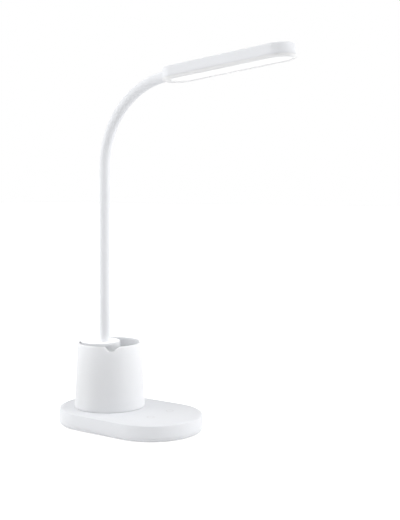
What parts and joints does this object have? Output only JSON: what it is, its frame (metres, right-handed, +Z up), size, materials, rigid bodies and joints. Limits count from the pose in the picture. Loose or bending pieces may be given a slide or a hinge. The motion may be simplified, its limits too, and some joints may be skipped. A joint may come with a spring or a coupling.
{
  "type": "desk lamp with pen cup",
  "caption": "Desk lamp on a flexible neck, with a racetrack base, a pen cup with phone notches, a glowing night light in the cup and a slim lit head.",
  "frame": {"origin": "centre of the base, on the desk under the foot pad", "axes": "+X forward, under the head; +Z up; +Y to the lamp's left"},
  "size_m": [0.3265, 0.12, 0.4497],
  "materials": {
    "shell": "satin moulded plastic",
    "pad": "fine foam",
    "steel": "plain",
    "cell": "laminated foil",
    "foam": "fine foam",
    "board": "solder mask",
    "board_white": "white solder mask",
    "parts": "moulded",
    "inlet": "nickel plated",
    "mark": "satin inlay",
    "lead": "wire jacket",
    "sleeve": "satin silicone",
    "glow": "opal, lit from behind",
    "led": "phosphor"
  },
  "bodies": {
    "base": {"base_cover": "shell", "base_plate": "shell", "foot_pad": "pad", "ballast_plate": "steel", "base_screws": "steel", "battery": "cell", "battery_pad": "foam", "main_board": "board", "board_parts": "parts", "board_screws": "steel", "charge_board": "board", "usb_inlet": "inlet", "touch_springs": "steel", "touch_marks": "mark", "base_leads": "lead", "bucket": "shell", "light_column": "shell", "column_screws": "steel", "night_diffuser": "glow", "night_board": "board", "night_leds": "led", "neck_ferrule": "steel", "neck_nut": "steel", "neck_leads": "lead", "neck_sleeve_0": "sleeve", "neck_core_0": "steel", "neck_wires_0": "lead"},
    "neck_1": {"neck_sleeve_1": "sleeve", "neck_core_1": "steel", "neck_wires_1": "lead"},
    "neck_2": {"neck_sleeve_2": "sleeve", "neck_core_2": "steel", "neck_wires_2": "lead"},
    "neck_3": {"neck_sleeve_3": "sleeve", "neck_core_3": "steel", "neck_wires_3": "lead"},
    "neck_4": {"neck_sleeve_4": "sleeve", "neck_core_4": "steel", "neck_wires_4": "lead"},
    "neck_5": {"neck_sleeve_5": "sleeve", "neck_core_5": "steel", "neck_wires_5": "lead"},
    "neck_6": {"neck_sleeve_6": "sleeve", "neck_core_6": "steel", "neck_wires_6": "lead"},
    "neck_7": {"neck_sleeve_7": "sleeve", "neck_core_7": "steel", "neck_wires_7": "lead"},
    "head": {"neck_sleeve_8": "sleeve", "neck_core_8": "steel", "neck_wires_8": "lead", "head_cover": "shell", "head_frame": "shell", "head_diffuser": "glow", "led_board": "board_white", "leds": "led", "head_ferrule": "steel", "head_screws": "steel", "head_leads": "lead"}
  },
  "joints": [
    {"name": "lower_bend", "type": "hinge", "parent": "base", "child": "neck_1", "pos_m": [-0.0409, 0, 0.129], "axis": [0, 1, 0], "range_deg": [-20, 20]},
    {"name": "lower_lean", "type": "hinge", "parent": "neck_1", "child": "neck_2", "pos_m": [-0.0409, 0, 0.176], "axis": [1, 0, 0], "range_deg": [-20, 20]},
    {"name": "lower_bend_b", "type": "hinge", "parent": "neck_2", "child": "neck_3", "pos_m": [-0.0409, 0, 0.223], "axis": [0, 1, 0], "range_deg": [-20, 20]},
    {"name": "lower_lean_b", "type": "hinge", "parent": "neck_3", "child": "neck_4", "pos_m": [-0.0409, 0, 0.27], "axis": [1, 0, 0], "range_deg": [-20, 20]},
    {"name": "upper_bend", "type": "hinge", "parent": "neck_4", "child": "neck_5", "pos_m": [-0.0409, 0, 0.317], "axis": [0, 1, 0], "range_deg": [-22, 18]},
    {"name": "upper_bend_b", "type": "hinge", "parent": "neck_5", "child": "neck_6", "pos_m": [-0.03368, 0, 0.35584], "axis": [0, 1, 0], "range_deg": [-22, 18]},
    {"name": "upper_turn", "type": "hinge", "parent": "neck_6", "child": "neck_7", "pos_m": [-0.01297, 0, 0.38948], "axis": [0.7414, 0, -0.6711], "range_deg": [-35, 35]},
    {"name": "upper_bend_c", "type": "hinge", "parent": "neck_7", "child": "head", "pos_m": [0.01845, 0, 0.41342], "axis": [0, 1, 0], "range_deg": [-22, 18]}
  ],
  "couplings": [
    {"joint": "lower_bend_b", "follows": "lower_bend", "ratio": 1},
    {"joint": "lower_lean_b", "follows": "lower_lean", "ratio": 1},
    {"joint": "upper_bend_b", "follows": "upper_bend", "ratio": 1},
    {"joint": "upper_bend_c", "follows": "upper_bend", "ratio": 1}
  ]
}
